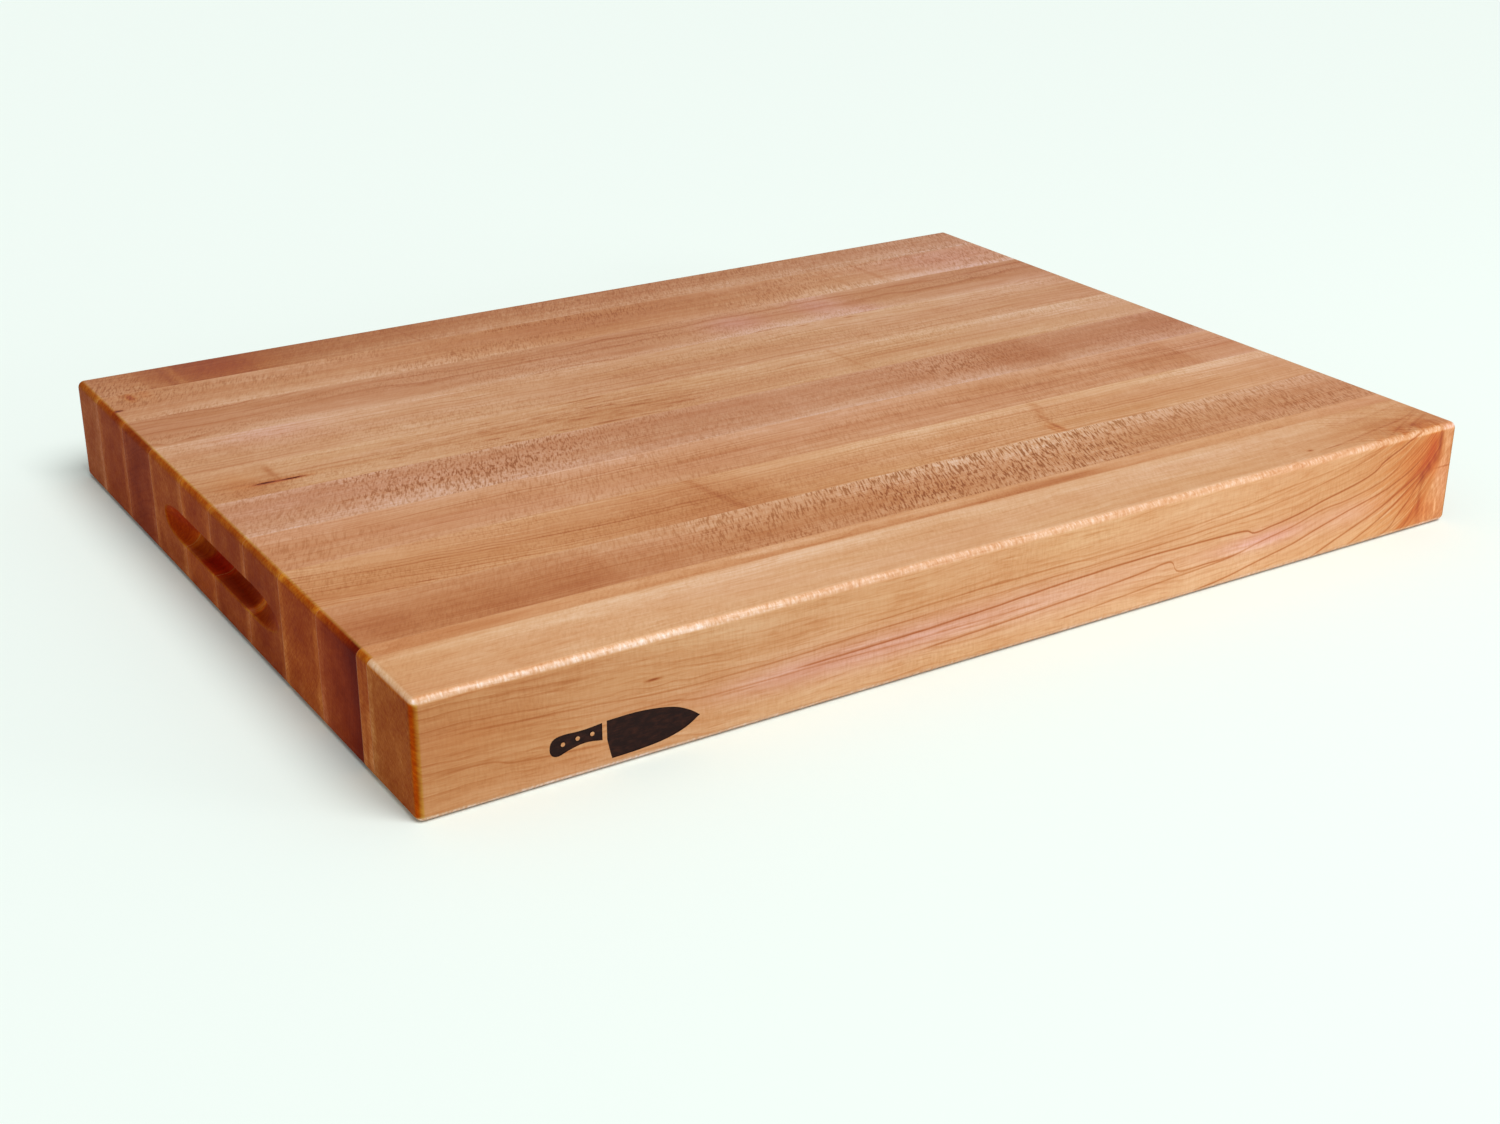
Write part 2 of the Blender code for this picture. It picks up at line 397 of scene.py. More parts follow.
# Dark growth lines on the board's front side: points (X, Z), darkness, thickness in mm. Each
# fades at both its ends.
FRONT_LINES = [
    ([
        (180, 22.5), (250, 23.5), (400, 28.9), (446, 28.2), (458, 27.6), (464.5, 25.2),
        (474, 26.0), (490, 28.2), (516, 33.3), (538, 37.5), (549, 41.2), (553.4, 44.4),
        (559, 47.2), (566, 50), (574, 53.7), (590, 58),
    ], 1.15, 0.42),
    ([
        (420, 2.0), (446, 4.6), (470, 8.8), (492, 12.7), (514.5, 18.5), (534, 23.1),
        (557, 28.2), (566, 31.4), (576, 36), (590, 46),
    ], 0.95, 0.42),
    ([
        (330, 8), (400, 12.5), (446, 15.2), (467, 18.9), (490, 22.6), (514.5, 27.7),
        (527, 28.7), (539, 30.5), (555, 34.2), (564.5, 38.8), (570, 43.5), (578, 52),
    ], 0.65, 0.40),
    ([
        (500, -2), (515, 4.6), (534, 11), (555, 18.5), (566, 23.6), (576, 28.7), (590, 36),
    ], 0.95, 0.50),
    ([(528, 0), (539, 4.6), (557, 12.9), (566, 18), (576, 25), (590, 35)], 0.80, 0.50),
    ([
        (555, 1), (565, 5.5), (571, 12), (577.5, 18.5), (584, 27), (594, 38),
    ], 0.90, 0.55),
    ([(568, 0), (576, 4), (582, 12), (586, 24), (594, 37)], 0.70, 0.60),
    ([
        (250, 13.5), (330, 17), (396, 21.5), (405, 22.5), (410, 18.0), (417, 15.4),
        (440, 15.6), (460, 16.5),
    ], 0.85, 0.42),
    ([
        (20, 36.8), (35, 35.7), (79, 32.8), (115, 29.6), (150, 28.6), (250, 31.0),
        (446, 35.2), (483, 38.9), (511, 42.6), (540, 49), (560, 56),
    ], 0.45, 0.40),
    ([(4, 20.6), (32, 19.7), (44, 16.5), (62, 14.6), (90, 12.5)], 0.50, 0.45),
    ([
        (200, 34.0), (280, 36.5), (380, 37.0), (446, 40.6), (474, 44.4), (513, 48.1),
        (539, 51.4), (560, 56),
    ], 0.40, 0.38),
    ([
        (90, 24.8), (115, 24.4), (139, 21.4), (198, 20.9), (260, 20.0), (330, 20.5),
    ], 0.45, 0.42),
]

# The same on the top face of some staves: points (X, Y), darkness, thickness in mm.
TOP_LINES = {
    "front_stave": [
        ([
            (510, 6.8), (530, 9.4), (540, 10.9), (560, 14.8), (586, 19.2), (609, 28),
        ], 0.75, 0.8),
        ([(556, 3), (562.5, 4.8), (579, 12.5), (601, 22.5), (609, 26)], 0.55, 0.8),
        ([(566, 1), (571.5, 2.5), (585, 10.3), (606, 19.2), (609, 20.5)], 0.60, 1.0),
        ([(540, 27), (570, 31), (609, 38.5)], 0.30, 0.6),
    ],
    "stave_04": [
        ([
            (-10, 133), (2, 130.9), (15, 127.8), (33, 126.6), (50, 124.5), (76, 122.2),
            (102, 119.7), (132, 118.5), (190, 116),
        ], 0.50, 0.9),
        ([
            (-10, 111), (3.5, 109.1), (16, 106.6), (27, 104.5), (45, 103.2), (66, 102.5),
        ], 0.65, 0.7),
        ([(-10, 138), (3.5, 136.6), (27, 132.8), (46, 130.3), (70, 128)], 0.35, 0.6),
        ([(50, 115), (90, 110), (140, 107), (180, 105)], 0.25, 0.6),
    ],
}

# How strongly each effect lowers the log of red, green and blue.
DARKEN = (0.29, 0.64, 1.10)  # darker maple loses blue first, then green, then red
AMBER = (0.08, 0.55, 1.30)  # resin and stain near a knot: nearly all the red stays
FLECK_TINT = (0.10, 0.0, -0.08)  # ray fleck
EDGE_SOAK = (0.02, -0.10, 0.95)  # finish in the rounded edges of the end
POOLED_STAIN_AND_SHADE = (-0.01, 1.10, 2.2)  # finish pooled in a finger grip, and painted shade in its hollow
EDGE_SHADE_TINT = (0.55, 0.80, 0.75)  # painted shade on the bottom edges and back corners, and a darker right front corner
# How strongly each effect raises the log of red, green and blue.
PINKEN = (0.03, 0.02, 0.24)  # a pinker patch keeps its red and gains blue
CORNER_SOAK = (0.20, -0.40, -2.3)  # the front stave's upright corners
GRIP_WARM = (0.85, 0.15, -0.6)  # a warm patch in the left grip

WANDER = 9.0  # mm, how far the grain wanders from straight


# ------------------------------------------------------------------ shader arithmetic
class Socket:
    """A number flowing through a node tree, with ordinary arithmetic."""

    def __init__(self, graph, socket):
        self.graph, self.socket = graph, socket

    def __add__(self, other):
        return self.graph.math("ADD", self, other)

    __radd__ = __add__

    def __sub__(self, other):
        return self.graph.math("SUBTRACT", self, other)

    def __rsub__(self, other):
        return self.graph.math("SUBTRACT", other, self)

    def __mul__(self, other):
        return self.graph.math("MULTIPLY", self, other)

    __rmul__ = __mul__

    def __truediv__(self, other):
        return self.graph.math("DIVIDE", self, other)


class Graph:
    """A new material and the means to write its node tree as arithmetic."""

    def __init__(self, name):
        self.material = bpy.data.materials.new(name)
        self.material.use_nodes = True
        self.tree = self.material.node_tree
        self.tree.nodes.clear()

    def feed(self, target, value):
        if isinstance(value, Socket):
            self.tree.links.new(value.socket, target)
        else:
            target.default_value = value

    def node(self, kind, inputs, **settings):
        """A node; the keys of inputs are socket names or indices."""
        made = self.tree.nodes.new(kind)
        for key, value in settings.items():
            setattr(made, key, value)
        for key, value in inputs.items():
            self.feed(made.inputs[key], value)
        return made

    def result(self, kind, inputs, output=0, **settings):
        """One output of a new node."""
        return Socket(self, self.node(kind, inputs, **settings).outputs[output])

    def split(self, value, kind="ShaderNodeSeparateXYZ"):
        """The three parts of a vector, or of a colour."""
        return [Socket(self, part) for part in self.node(kind, {0: value}).outputs]

    def split_colour(self, value):
        return self.split(value, "ShaderNodeSeparateColor")

    def math(self, operation, *values, clamp=False):
        return self.result(
            "ShaderNodeMath", dict(enumerate(values)), operation=operation, use_clamp=clamp
        )

    def exp(self, value):
        return self.math("EXPONENT", value)

    def abs(self, value):
        return self.math("ABSOLUTE", value)

    def low(self, one, other):
        return self.math("MINIMUM", one, other)

    def high(self, one, other):
        return self.math("MAXIMUM", one, other)

    def bell(self, square):
        """1 where square is 0, falling off as exp(-square)."""
        return self.math("POWER", math.exp(-1.0), square)

    def step(self, value, start, end):
        """0 before start, 1 after end, smooth between; falling when start is past end."""
        rising = start < end
        inputs = {
            "Value": value,
            "From Min": min(start, end),
            "From Max": max(start, end),
            "To Min": 0.0 if rising else 1.0,
            "To Max": 1.0 if rising else 0.0,
        }
        return self.result(
            "ShaderNodeMapRange", inputs, output="Result", interpolation_type="SMOOTHSTEP"
        )

    def vector(self, place, scale=None, offsets=()):
        """A vector from three numbers, each scaled, with the offsets added to the first."""
        x, y, z = place
        if scale:
            x, y, z = x * scale[0], y * scale[1], z * scale[2]
        for offset in offsets:
            x = x + offset
        return self.result("ShaderNodeCombineXYZ", {0: x, 1: y, 2: z})

    def noise(self, place, scale=None, offsets=(), detail=2.0, rough=0.5, colour=False):
        """Noise centred on 0.5, at a vector or at three numbers with a scale for each."""
        if isinstance(place, tuple):
            place = self.vector(place, scale, offsets)
        inputs = {"Vector": place, "Scale": 1.0, "Detail": detail, "Roughness": rough}
        return self.result(
            "ShaderNodeTexNoise", inputs, output=1 if colour else 0, noise_dimensions="3D"
        )

    def noise_line(self, along):
        inputs = {"W": along, "Scale": 1.0, "Detail": 1.0, "Roughness": 0.5}
        return self.result("ShaderNodeTexNoise", inputs, noise_dimensions="1D")

    def random(self, along):
        return self.result("ShaderNodeTexWhiteNoise", {"W": along}, noise_dimensions="1D")

    def blocks(self, along):
        """Random values in blocks of uneven length, with hard edges between them."""
        colour = self.result(
            "ShaderNodeTexVoronoi",
            {"W": along, "Scale": 1.0, "Randomness": 1.0},
            output="Color",
            voronoi_dimensions="1D",
            feature="F1",
        )
        return self.split_colour(colour)[0]

    def curve(self, value, points):
        """A smooth curve through (position, value) points."""
        first = min(p[0] for p in points)
        last = max(p[0] for p in points)
        low = min(p[1] for p in points)
        span = max(max(p[1] for p in points) - low, 1e-6)
        share = self.math("MULTIPLY", value - first, 1.0 / (last - first), clamp=True)
        made = self.node("ShaderNodeFloatCurve", {"Value": share})
        line = made.mapping.curves[0]
        while len(line.points) < len(points):
            line.points.new(0.5, 0.5)
        for point, (x, y) in zip(line.points, points):
            point.location = ((x - first) / (last - first), (y - low) / span)
            point.handle_type = "AUTO_CLAMPED"
        made.mapping.update()
        return Socket(self, made.outputs[0]) * span + low

    def wood_point(self):
        """X, Y, Z in mm from the board's lower left front corner."""
        parts = self.split(self.result("ShaderNodeTexCoord", {}, output="Object"))
        return tuple((part - CORNER[i]) * 1000.0 for i, part in enumerate(parts))

    def normal(self):
        return self.split(self.result("ShaderNodeNewGeometry", {}, output="Normal"))

    def colour(self, channels):
        return self.result("ShaderNodeCombineColor", dict(enumerate(channels)))

    def bump(self, height, strength, distance):
        inputs = {"Strength": strength, "Distance": distance, "Height": height}
        return self.result("ShaderNodeBump", inputs)

    def surface(self, inputs):
        """Ends the tree with a Principled shader; returns the material."""
        shader = self.result("ShaderNodeBsdfPrincipled", inputs)
        self.node("ShaderNodeOutputMaterial", {0: shader})
        return self.material


# ------------------------------------------------------------------ the maple
class Maple(Graph):
    """The solid maple of one stave. low_y and high_y are the stave's sides in wood mm."""

    def __init__(self, name, low_y, high_y):
        super().__init__(f"maple_{name}")
        self.name = name
        self.is_front = name == "front_stave"
        self.is_back = name == "back_stave"
        self.wood = WOOD[name]
        self.low_y, self.high_y = low_y, high_y
        self.middle_y = (low_y + high_y) / 2
        self.shift = self.wood["seed"] * 91.7  # where in the noise this stave lies
        self.place = self.wood_point()
        normal = self.normal()
        self.end_facing = self.abs(normal[0])
        self.up_facing = self.abs(normal[2])
        if self.is_front or self.is_back:
            self.side_facing = self.abs(normal[1])

    def grown(self, place, scale, extra=(), **look):
        """Noise that belongs to this stave alone."""
        return self.noise(place, scale, (self.shift, *extra), **look)

    def tilted(self, slope):
        """X along lines that slant back to the right, in mm of X per mm of Y."""
        x, y, _ = self.place
        return x - (y - self.middle_y) * slope

    def share_across(self):
        """0 at the stave's front edge, 1 at its back edge."""
        return (self.place[1] - self.low_y) / (self.high_y - self.low_y)

    def grow_rings(self):
        x, y, z = self.place
        wood, seed = self.wood, self.wood["seed"]
        # The grain wanders a little along the stave, so every ring is a gently waved sheet.
        wander = self.split_colour(
            self.grown(self.place, (0.0085, 0.022, 0.022), detail=2.0, colour=True)
        )
        wander_y = (wander[0] - 0.5) * WANDER
        wander_z = (wander[1] - 0.5) * WANDER
        ripple = self.grown(self.place, (0.05, 0.05, 0.09), detail=1.0)
        self.ripple = (ripple - 0.5) * 2.0
        if "lift" in wood:
            wander_z = wander_z - self.curve(x, wood["lift"])
        if "slide" in wood:
            wander_y = wander_y - self.curve(x, wood["slide"])
        self.grain = (x, y + wander_y, z + wander_z)

        # Distance from the pith gives the rings, and the angle about it gives the rays.
        pith_y, pith_z = wood["pith"]
        from_y = y + wander_y - (self.middle_y + pith_y)
        from_z = z + wander_z - (WOOD_MIDDLE_Z + pith_z)
        self.radius = self.math("SQRT", from_y * from_y + from_z * from_z) + self.ripple
        self.angle = self.math("ARCTAN2", from_y, from_z) * math.hypot(pith_y, pith_z)

        # Rings of uneven width, each with its own darkness, darkest in the late wood.
        rings = self.radius / wood["spacing"]
        rings = rings + (self.noise_line(self.radius * 0.11 + self.shift) - 0.5) * 1.8
        ring = self.math("FLOOR", rings)
        within = self.math("FRACT", rings)
        chance = self.random(ring + seed * 7.3)
        self.late = self.step(within, 0.50, 0.93) * self.step(within, 1.0, 0.96)
        self.ring_dark = self.late * (chance * 0.85 + 0.10) + (
            self.random(ring + seed * 3.1 + 50.0) - 0.5
        ) * 0.16

    def grow_fibres(self):
        """Streaks of colour and fibre along the grain, from broad to fine."""
        grain = self.grain
        self.cloud = self.grown(grain, (0.014, 0.055, 0.055), detail=2.0, rough=0.55)
        self.streak = self.grown(grain, (0.0050, 0.16, 0.16), detail=3.0, rough=0.65)
        self.fibre = self.grown(grain, (0.022, 0.85, 0.85), detail=3.0, rough=0.65)
        self.pore = self.grown(grain, (0.13, 2.4, 2.4), detail=1.0)
        dashes = self.grown(grain, (0.075, 0.75, 0.75), detail=1.0)
        self.dash = self.step(dashes, 0.57, 0.70) * self.wood.get("dash", 0.35)
        if "dash_along" in self.wood:
            self.dash = self.dash * self.curve(grain[0], self.wood["dash_along"])

    def figure(self):
        """The grain dips in and out along the stave: soft bands and a few hard-edged blocks."""
        x, y, z = self.place
        sway = self.grown(self.place, (0.02, 0.06, 0.06), detail=1.0) - 0.5
        lean = x + (y - self.middle_y) * 0.12 + sway * 26.0
        figure = (self.noise_line(lean * 0.05 + self.shift) - 0.5) * 0.20
        figure = figure + (self.blocks(lean * 0.017 + self.shift) - 0.5) * 0.07
        # Waves across the grain, then finer and more slanted ones.
        curl = self.grown((self.tilted(0.45), y, z), (0.42, 0.06, 0.06), detail=2.0) - 0.5
        slant = self.grown((self.tilted(0.65), y, z), (0.85, 0.17, 0.17), detail=1.0) - 0.5
        figure = figure + curl * (0.14 + self.wood.get("curl", 0.0) * 0.45)
        return figure + slant * self.wood.get("slant", 0.34)

    def grow_fleck(self):
        """Ray fleck: thin dark slivers across the grain, with pale rims, along the rays."""
        wood = self.wood
        jitter = self.grown(self.place, (0.09, 0.07, 0.07), detail=1.0, colour=True)
        ray_place = self.vector(
            (self.tilted(0.42), self.radius, self.angle),
            (0.92, wood.get("ray_break", 0.13), 0.34),
            (self.shift,),
        )
        shaken = self.result(
            "ShaderNodeVectorMath",
            {0: jitter, 1: (1.6, 0.7, 0.7), 2: ray_place},
            operation="MULTIPLY_ADD",
        )
        rays = self.noise(shaken, detail=1.5)
        mask = self.grown(self.grain, (0.012, 0.045, 0.045), detail=2.0)
        mask = self.step(mask, 0.32, 0.64)
        if "fleck_along" in wood:
            mask = (mask * 0.6 + 0.4) * self.curve(self.place[0], wood["fleck_along"])
        sliver = self.step(rays, 0.52, 0.62) * 1.20 - self.step(rays, 0.50, 0.38) * 0.36
        self.fleck = sliver * mask * wood["fleck"]

    def soft_spot(self, place, shape):
        """An ellipsoid that fades outwards: its centre, then its radii."""
        centre, radii = shape[:3], shape[3:]
        inputs = {
            0: place,
            1: tuple(1 / radius for radius in radii),
            2: tuple(-middle / radius for middle, radius in zip(centre, radii)),
        }
        scaled = self.result("ShaderNodeVectorMath", inputs, operation="MULTIPLY_ADD")
        square = self.result(
            "ShaderNodeVectorMath",
            {0: scaled, 1: scaled},
            output="Value",
            operation="DOT_PRODUCT",
        )
        return self.bell(square)

    def bar(self, start, end, soft, slant):
        x, y, _ = self.place
        along = x + (y - self.middle_y) * slant
        return self.step(along, start - soft, start + soft) * self.step(
            along, end + soft, end - soft
        )

    def marks(self):
        """The stave's marks summed as dark, pink and amber; a kind it lacks is left out."""
        place = self.vector(self.place)
        sums = {}
        for kind, rows in MARKS[self.name].items():
            shade = {"blush": "pink", "amber": "amber"}.get(kind, "dark")
            for *shape, amount in rows:
                value = self.bar(*shape) if kind == "bar" else self.soft_spot(place, shape)
                sums[shade] = self.math("MULTIPLY_ADD", value, amount, sums.get(shade, 0.0))
        return sums

    def front_rings(self, dark):
        """The front stave's rings, weaker on its upright sides, and its fine streaks."""
        x = self.place[0]
        dark = dark * self.high(
            self.step(self.up_facing, 1.15, 0.55), self.step(x, 505.0, 560.0) * 0.8
        )
        along = [(0, 0.65), (110, 0.55), (250, 0.50), (400, 0.55), (460, 0.45), (609.6, 0.25)]
        dark = dark * self.curve(x, along) + dark * self.step(
            self.up_facing, 0.80, 0.97
        ) * self.step(x, 520.0, 570.0) * 0.8
        # Short fine streaks along the grain.
        brush = self.noise(self.place, (0.035, 0.5, 0.62), (17.0,), detail=2.0, rough=0.6)
        brush = self.step(brush, 0.52, 0.72) * self.curve(
            x, [(0, 0.34), (250, 0.34), (430, 0.22), (540, 0.06), (609.6, 0.0)]
        )
        return dark + brush * self.step(self.side_facing, 0.5, 0.95)

    def from_line(self, level, points, thick):
        """Distance from a growth line, in thicknesses."""
        height = self.curve(self.place[0], points)
        return (level + self.ripple * 0.30 - height) * (1.0 / thick)

    def line_fade(self, points, run, past=0.0):
        """Fades a growth line over run mm at both ends; it may end a little past its last point."""
        x = self.place[0]
        first, final = points[0][0], points[-1][0] + past
        return self.step(x, first, first + run) * self.step(x, final, final - run)

    def front_lines(self):
        strokes = None
        for points, amount, thick in FRONT_LINES:
            off = self.from_line(self.place[2], points, thick)
            # Crisp below the line and soft above it, as late wood is.
            spread = self.math("MULTIPLY_ADD", self.step(off, 0.2, -0.2), 0.65, 0.55)
            core = self.bell(off * off * spread)
            stroke = core * self.line_fade(points, run=14.0) * (amount * 1.5)
            strokes = stroke if strokes is None else strokes + stroke
        return strokes

    def top_lines(self, dark):
        _, y, z = self.place
        for points, amount, thick in TOP_LINES.get(self.name, []):
            off = self.from_line(y, points, thick)
            core = self.bell(off * off)
            fade = self.line_fade(points, run=12.0, past=1.0)
            fade = fade * self.step(self.up_facing, 0.80, 0.99) * self.step(z, 46.0, 52.0)
            dark = dark + core * fade * ((self.late + self.cloud) * (amount * 1.1))
        return dark

    def knot_edge(self):
        """X, leaning below a height of 33 mm as the edge of the knot's wood does."""
        x, _, z = self.place
        return x + self.high(33.0 - z, 0.0) * 0.45

    def front_side(self, dark, pink, amber):
        """The board's front side and the knot that was sawn off at its right end."""
        x, y, z = self.place
        side_facing = self.side_facing
        # Growth lines sweep up to the knot.
        near_front = self.step(y, 20.0, 5.0)
        dark = dark + self.front_lines() * near_front * self.step(x, 600.0, 592.0)

        # Close to the knot the grain rises steeply to the right, in many fine orange streaks.
        bend = z - self.exp((x - 600.0) * (1.0 / 28.0)) * 45.0
        streaks = self.noise(
            (bend, x, y), (0.50, 0.025, 0.08), (self.ripple * 0.2,), detail=3.0, rough=0.65
        )
        by_knot = self.step(x, 530.0, 585.0) * near_front
        by_knot = by_knot * self.step(self.knot_edge(), 599.5, 596.0)
        streaks = (streaks - 0.47) * by_knot
        dark = dark + streaks * 1.8
        amber = amber + streaks * 3.0

        # Beyond it lies a mottled wedge of paler wood.
        wedge = self.step(self.knot_edge(), 597.5, 600.0) * near_front
        mottle = self.noise((x, z, y), (0.55, 0.16, 0.1), detail=3.0, rough=0.7)
        dark = dark + (mottle - 0.49) * wedge * 2.6

        # Painted shade: the whole side is darker, most of all at its left end and above the middle.
        on_side = self.step(side_facing, 0.5, 0.95)
        side_shade_along = [
            (0, 0.62), (60, 0.54), (120, 0.42), (200, 0.30), (300, 0.22), (400, 0.16),
            (609.6, 0.16),
        ]
        side_shade_up = [(0, -0.10), (10, -0.08), (22, 0.02), (30, 0.12), (42, 0.10), (57.15, 0.02)]
        dark = dark + on_side * (self.curve(x, side_shade_along) + self.curve(z, side_shade_up))
        # More painted shade, in grey, strongest towards the side's left end.
        grey_shade_along = [(0, 0.17), (110, 0.16), (250, 0.10), (400, 0.05), (520, 0.02), (609.6, 0.0)]
        self.shade = on_side * self.curve(x, grey_shade_along)

        # The rounded edge cuts the rays obliquely: pale and reddish ticks.
        corner = self.step(side_facing * self.up_facing, 0.12, 0.42)
        tick = self.noise(self.place, (0.85, 0.30, 0.30), detail=2.0)
        dark = dark + corner * (
            self.step(tick, 0.54, 0.68) * 0.40 - self.step(tick, 0.50, 0.34) * 0.38
        )
        # The rounded edge is paler than its rays make it, most of all near the board's ends: a painted
        # highlight.
        highlight_along = [
            (0, 1.2), (60, 1.0), (150, 0.55), (300, 0.12), (520, 0.15), (570, 0.50),
            (609.6, 0.65),
        ]
        dark = dark - corner * self.step(side_facing, 0.30, 0.90) * self.curve(x, highlight_along)
        amber = amber * (1.0 - corner * 0.85)
        pink = pink + corner * 0.35 + wedge * 0.5
        return dark, pink, amber

    def tint_face(self):
        """Darkness, pinkness and amber of the face grain; amber may be None."""
        x, wood = self.place[0], self.wood
        vary = self.grown(self.place, (0.011, 0.05, 0.05), (9.0,), detail=1.0)
        dark = self.ring_dark * (self.step(vary, 0.30, 0.70) * 1.1 + 0.45) * wood["rings"]
        if self.is_front:
            dark = self.front_rings(dark)
        dark = dark + (self.cloud - 0.5) * 0.55 + (self.streak - 0.5) * 0.85
        dark = dark + (self.fibre - 0.5) * 0.75
        dark = dark + self.step(self.pore, 0.58, 0.76) * 0.22 + self.dash * 0.55
        dark = dark + self.fleck + self.figure()
        tone = self.curve(x, wood["tone"])
        across = self.curve(self.share_across(), wood["across"])
        marks = self.marks()
        dark = dark + tone + across + marks["dark"]

        pink = self.grown(self.grain, (0.009, 0.05, 0.05), (40.0,), detail=1.0)
        pink = (pink - 0.5) * 0.8 + wood.get("pink", 0.0)
        if "pink" in marks:
            pink = pink + marks["pink"]
        amber = marks.get("amber")
        if self.is_front:
            dark, pink, amber = self.front_side(dark, pink, amber)
        else:
            pink = pink + self.curve(x, [(0, 0.0), (430, 0.0), (609.6, 0.45)])
        self.pink, self.amber = pink, amber
        self.dark = self.top_lines(dark)

    def find_end(self):
        """Where the end grain shows, and where the rounded edge turns into it."""
        end_facing, up_facing = self.end_facing, self.up_facing
        edge = self.step(end_facing, 0.05, 0.35) * self.step(end_facing, 0.995, 0.90)
        if self.is_front:
            self.end = self.step(end_facing - up_facing * 0.95, 0.02, 0.70)
            edge = edge * self.step(up_facing, 0.50, 0.05)
        else:
            self.end = self.step(end_facing, 0.06, 0.55)
        self.edge = edge
        # Where the long edge of the end turns over towards the top it is lighter, most of all towards the
        # front: a painted highlight.
        edge_highlight = self.step(end_facing, 0.15, 0.50) * self.step(up_facing, 0.20, 0.50)
        self.edge_highlight = edge_highlight * self.curve(
            self.place[1],
            [
                (0, 0.60), (60, 0.60), (150, 0.65), (210, 0.45), (270, 0.20), (380, 0.0),
                (457.2, 0.0),
            ],
        )
        self.dark = self.dark - self.edge_highlight

    def soak_end(self):
        """End grain soaks up oil: darker and redder, with pale rays running from the pith."""
        x, y, z = self.place
        spoke = self.grown((self.angle, self.radius, x), (1.2, 0.07, 0.02), detail=2.0)
        # The wood by a glue joint is sealed by the glue and stays paler.
        if self.is_front:
            to_side = self.high_y - y
        elif self.is_back:
            to_side = y - self.low_y
        else:
            to_side = self.low(y - self.low_y, self.high_y - y)
        self.to_side = to_side
        sealed = self.step(to_side, 6.5, 3.0) * 0.55 + self.exp(to_side * -0.14) * 0.60
        blotch = self.grown(
            (y - z * 0.6, y * 0.6 + z, x), (0.05, 0.05, 0.01), detail=3.0, rough=0.6
        )
        speck = self.grown((y - z, y + z, x), (0.60, 0.26, 0.1), detail=3.0, rough=0.7)
        dark = self.ring_dark * 0.45 + (spoke - 0.5) * 0.8 + (blotch - 0.5) * 3.0
        # The curve in z darkens the end grain towards the top and leaves it lighter near the bottom:
        # painted light that offsets the shade near the floor.
        dark = dark + (speck - 0.5) * 3.2 - sealed + self.curve(
            z, [(0, 0.32), (20, 0.34), (40, 0.44), (57.15, 0.46)]
        )
        end_rise = self.wood.get("end_rise", 0.0) / 24.0
        # The painted highlight on the end's top rounding lightens the end grain too.
        dark = dark + (z - 24.0) * end_rise - self.edge_highlight
        if "end_across" in self.wood:
            dark = dark + self.curve(self.share_across(), self.wood["end_across"])
        self.end_dark = dark

    def stain_and_shade_grip(self):
        """Inside a finger grip the finish pooled, and painted shade fills the hollow: darker and redder
        the deeper it goes.
        """
        x, y, z = self.place
        from_end = self.low(x, LENGTH * 1000.0 - x)
        section = self.step(self.abs(z - WOOD_MIDDLE_Z), 9.2, 8.0) * self.step(
            self.abs(y - WIDTH * 500.0), 84.0, 82.5
        )
        # Darker deeper in the hollow: partly pooled finish, partly painted shade.
        pooled_and_shaded = self.step(from_end, 0.05, 0.9) * 0.75 + self.step(from_end, 0.9, 4.0) * 0.25
        pooled_and_shaded = pooled_and_shaded * section
        at_right = self.step(x, 300.0, 310.0)
        self.warm = None
        if self.name in ("stave_05", "stave_06"):
            warm_across = [(184.5, 0.0), (188.5, 0.5), (191.5, 0.5), (194.5, 0.0)]
            self.warm = pooled_and_shaded * self.curve(y, warm_across) * (1.0 - at_right)
        # The right grip took the finish, and its painted shade, evenly.
        pooled_and_shaded = pooled_and_shaded * (self.curve(y, GRIP_SHADE_AND_SOAK) * (1.0 - at_right) + at_right * 0.55)
        self.grip_stain_and_shade = pooled_and_shaded * (1.0 - self.step(self.to_side, 1.6, 0.3) * 0.5)
        # The wall of a grip counts as end grain.
        self.grip_end = self.step(from_end, 0.02, 0.25) * section

    def shade_edges(self):
        """Painted shade on the bottom edges and the back corners, and a darker right front corner."""
        x, _, z = self.place
        edge_shade = self.step(z, 2.2, 0.4) * self.step(self.up_facing, 0.99, 0.85)
        if self.is_front:
            turned = self.step(x, 606.3, 609.0) * self.step(self.end_facing, 0.985, 0.93)
            edge_shade = self.high(edge_shade, turned * self.step(self.side_facing, 0.05, 0.30))
        if self.is_back:
            corner = self.step(self.end_facing * self.side_facing, 0.10, 0.36)
            edge_shade = self.high(edge_shade, corner * 1.8)
        return edge_shade

    def channel(self, i, edge_shade, face_share):
        """Red, green or blue of the finished wood."""
        depth = self.dark * -DARKEN[i] + self.pink * PINKEN[i]
        if self.amber is not None:
            depth = depth + self.amber * -AMBER[i]
        # The front side's grey painted shade.
        if self.is_front:
            depth = depth - self.shade
        depth = depth - self.high(self.fleck, 0.0) * FLECK_TINT[i]
        face = self.exp(depth) * self.wood["face"][i]
        soaked = self.exp(self.end_dark * -DARKEN[i]) * self.wood["end"][i]
        mixed = face * face_share + soaked * self.end
        mixed = mixed * self.exp(
            self.edge * -EDGE_SOAK[i]
            # pooled finish and painted shade inside the grips
            - self.grip_stain_and_shade * POOLED_STAIN_AND_SHADE[i]
            # painted shade on the bottom edges and back corners, and a darker right front corner
            - edge_shade * (self.end * 0.5 + 0.5) * EDGE_SHADE_TINT[i]
        )
        if self.is_front:
